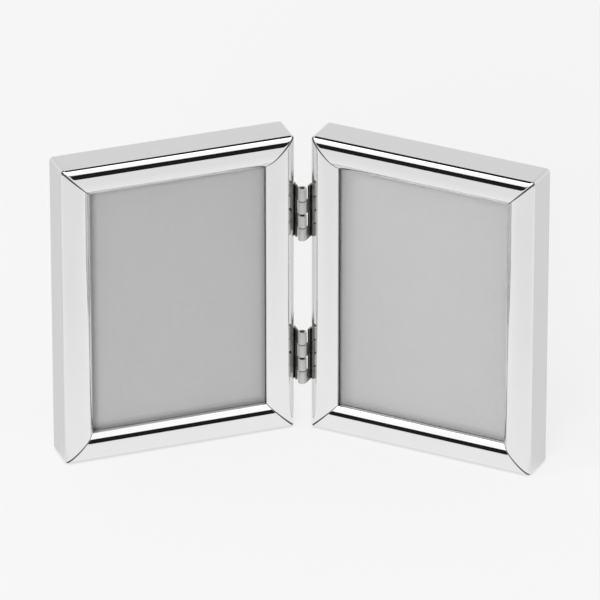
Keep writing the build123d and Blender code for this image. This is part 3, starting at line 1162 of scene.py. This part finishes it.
class PHOTOFRAME_OT_stage(bpy.types.Operator):
    """Set up the pale floor, the studio light and the camera"""

    bl_idname = "photo_frame.stage"
    bl_label = "Stage"

    def execute(self, context):
        stage = context.scene.photo_frame_stage
        key_place, side_place = Vector((-0.51, -2.4, 1.0)), Vector((-2.4, -0.97, 1.2))
        context.scene.view_settings.view_transform = "Standard"
        self.add_floor(stage)
        self.add_softbox(stage)
        self.add_lamp("key", key_place, stage.key)
        self.add_lamp("side_fill", side_place, stage.side_fill)
        self.add_world(context.scene, stage)
        self.add_camera(context.scene, stage)
        return {"FINISHED"}

    def add_floor(self, stage):
        """A wide pale floor that takes the shadow near the object and stays even far away."""
        half = 30.0
        # Distances from the middle between which the shadow is let go
        shadow_near, shadow_far = 0.25, 0.9
        # Where the bright floor starts that metal shows, from front to back
        bright_start, bright_width, bright_gain = -0.15, 0.13, 0.01
        # Where the darker floor beside the frames starts, sideways and from front to back
        side_start, side_width = 0.071, 0.006
        back_start, back_width = -0.03, 0.02

        corners = [(-half, -half, 0), (half, -half, 0), (half, half, 0), (-half, half, 0)]
        mesh = plain_mesh("floor", corners, [(0, 1, 2, 3)])
        floor = add_object("floor", mesh)
        pale = grey(stage.backdrop)
        finish = Finish("pale_floor", Base_Color=pale, Roughness=0.9, Specular_IOR_Level=0.0)
        tree = finish.tree
        away = flow(tree, "ShaderNodeVectorMath", {0: finish.place}, "Value", operation="LENGTH")
        ends = {"From Min": shadow_near, "From Max": shadow_far, "To Min": stage.floor_glow}
        fade = {"Value": away, **ends}
        far = flow(tree, "ShaderNodeMapRange", fade, interpolation_type="SMOOTHSTEP")
        # Right where the frames stand no light gets under them
        reach = {"Distance": stage.contact}
        touch = flow(tree, "ShaderNodeAmbientOcclusion", reach, "AO", samples=8)
        open_floor = touch * stage.contact_shade + (1.0 - stage.contact_shade)
        even = flow(tree, "ShaderNodeEmission", {"Color": open_floor * stage.backdrop})
        lit = mix_shaders(far, finish.surface, even)
        across, back, up = split(finish.place)
        front = back.ramp(bright_start, bright_width)
        front = front * (stage.backdrop + bright_gain - stage.floor_front) + stage.floor_front
        beside = abs(across).ramp(side_start, side_width) * back.ramp(back_start, back_width)
        seen = (front - (front - stage.floor_side) * beside) * open_floor
        mirrored = flow(tree, "ShaderNodeEmission", {"Color": seen})
        in_metal = flow(tree, "ShaderNodeLightPath", output="Is Glossy Ray")
        finish.show(mix_shaders(in_metal, lit, mirrored))
        mesh.materials.append(finish.material)

    def add_softbox(self, stage):
        """A wide softbox above and in front, whose long edges run from left to right."""
        middle = (stage.softbox_low + stage.softbox_high) / 2
        spread = (stage.softbox_high - stage.softbox_low) / 2
        light = bpy.data.lights.new("softbox", "AREA")
        light.shape = "RECTANGLE"
        light.size = stage.softbox_width
        light.size_y = 2 * stage.softbox_distance * math.tan(spread)
        light.energy = stage.softbox * math.pi * light.size * light.size_y
        place = Vector((0, -math.cos(middle), math.sin(middle))) * stage.softbox_distance
        self.hang(light, place, "camera", "diffuse", "transmission")

    def add_lamp(self, name, place, floor_share):
        """A soft lamp that models the matt pieces and stays out of the metal."""
        light = bpy.data.lights.new(name, "AREA")
        light.size = 1.0
        # What reaches the floor falls with the square of the distance and with the slant
        slant = place.z / place.length
        light.energy = floor_share * math.pi * math.pi * place.length**2 / slant
        self.hang(light, place, "camera", "glossy", "transmission")

    def hang(self, light, place, *hidden_from):
        """Hang a light so that it looks at the object, hidden from some kinds of rays."""
        lamp = add_object(light.name, light)
        lamp.location = place
        lamp.rotation_euler = place.to_track_quat("Z", "Y").to_euler()
        for rays in hidden_from:
            setattr(lamp, f"visible_{rays}", False)

    def add_world(self, scene, stage):
        """Even light all round, and in the metal dark flags before a screen at the back."""
        # The flags beside the camera lie between two sines of their bearing, the flags overhead
        # between two distances from the middle, and the soft edges are this wide
        beside_start, beside_end, beside_edge = 0.52, 0.84, 0.06
        overhead_start, overhead_start_edge = 0.05, 0.04
        overhead_end, overhead_end_edge = 0.49, 0.06
        overhead_gap, screen_blur = 0.02, 0.16
        least = 0.0001

        world = bpy.data.worlds.new("studio")
        scene.world = world
        world.use_nodes = True
        tree = world.node_tree
        tree.nodes.clear()
        right, back, up = split(flow(tree, "ShaderNodeTexCoord", output="Generated"))
        height = up.sum("ARCTAN2", back * -1.0)
        aside = abs(right)
        sine = aside / (1.0 - up * up).at_least(least).root()
        beside = sine.ramp(beside_start, beside_edge) * (1.0 - sine.ramp(beside_end, beside_edge))
        overhead = aside.ramp(overhead_start, overhead_start_edge)
        overhead = overhead * (1.0 - aside.ramp(overhead_end, overhead_end_edge))
        above = height.above(stage.softbox_high - overhead_gap)
        dark = beside + (overhead - beside) * above
        screen_start = math.pi - stage.screen_edge - screen_blur / 2
        dark = dark * (1.0 - height.ramp(screen_start, screen_blur))
        screen = dark * (stage.flag - stage.screen) + stage.screen

        rays = flow(tree, "ShaderNodeLightPath").socket.node.outputs
        seen = Term(rays["Is Camera Ray"]).at_least(Term(rays["Is Transmission Ray"]))
        matt = Term(rays["Diffuse Depth"]).above(0.5)
        seen = seen * (1.0 - matt)
        fill = (1.0 - right * stage.fill_lean) * stage.fill
        fill = flow(tree, "ShaderNodeBackground", {"Color": grey(1.0), "Strength": fill})
        studio = flow(tree, "ShaderNodeBackground", {"Color": screen})
        backdrop = flow(tree, "ShaderNodeBackground", {"Color": grey(stage.backdrop)})
        lit = mix_shaders(Term(rays["Is Glossy Ray"]), fill, studio)
        leave = tree.nodes.new("ShaderNodeOutputWorld")
        tree.links.new(mix_shaders(seen, lit, backdrop).socket, leave.inputs["Surface"])

    def add_camera(self, scene, stage):
        """A long lens from the front, a little to the right and above."""
        lens = bpy.data.cameras.new("camera")
        lens.sensor_width = 36.0
        lens.lens = stage.lens
        lens.clip_start = 0.05
        lens.clip_end = 100.0
        camera = add_object("camera", lens)
        towards = Vector((0, -math.cos(stage.elevation), math.sin(stage.elevation)))
        towards.rotate(Matrix.Rotation(stage.azimuth, 3, "Z"))
        target = Vector((-stage.aim_across, 0, stage.aim_height))
        camera.location = target + towards * stage.distance
        camera.rotation_euler = (math.pi / 2 - stage.elevation, 0, stage.azimuth)
        scene.camera = camera


class PHOTOFRAME_PT_panel(bpy.types.Panel):
    """Sizes, colours and steps of the photo frame"""

    bl_idname = "PHOTOFRAME_PT_panel"
    bl_label = "Photo frame"
    bl_space_type = "VIEW_3D"
    bl_region_type = "UI"
    bl_category = "Photo frame"

    def draw(self, context):
        for operator in OPERATORS:
            self.layout.operator(operator.bl_idname)
        for name, kind in SETTINGS.items():
            box = self.layout.box()
            box.label(text=kind.__doc__)
            for field in kind.__annotations__:
                box.prop(getattr(context.scene, name), field)


OPERATORS = (
    PHOTOFRAME_OT_stage,
    PHOTOFRAME_OT_rails,
    PHOTOFRAME_OT_picture_packs,
    PHOTOFRAME_OT_velvet_backs,
    PHOTOFRAME_OT_hinges,
    PHOTOFRAME_OT_pins_and_rivets,
    PHOTOFRAME_OT_turn_buttons,
)


def register():
    """Register the settings, the steps and the panel."""
    for name, kind in SETTINGS.items():
        bpy.utils.register_class(kind)
        setattr(bpy.types.Scene, name, PointerProperty(type=kind))
    for kind in (*OPERATORS, PHOTOFRAME_PT_panel):
        bpy.utils.register_class(kind)


def unregister():
    """Take everything back that register set up."""
    for kind in (PHOTOFRAME_PT_panel, *reversed(OPERATORS)):
        bpy.utils.unregister_class(kind)
    for name, kind in SETTINGS.items():
        delattr(bpy.types.Scene, name)
        bpy.utils.unregister_class(kind)


def main():
    """Dress the frame step by step."""
    register()
    bpy.ops.photo_frame.stage()
    bpy.ops.photo_frame.rails()
    bpy.ops.photo_frame.picture_packs()
    bpy.ops.photo_frame.velvet_backs()
    bpy.ops.photo_frame.hinges()
    bpy.ops.photo_frame.pins_and_rivets()
    bpy.ops.photo_frame.turn_buttons()


if __name__ == "__main__":
    main()
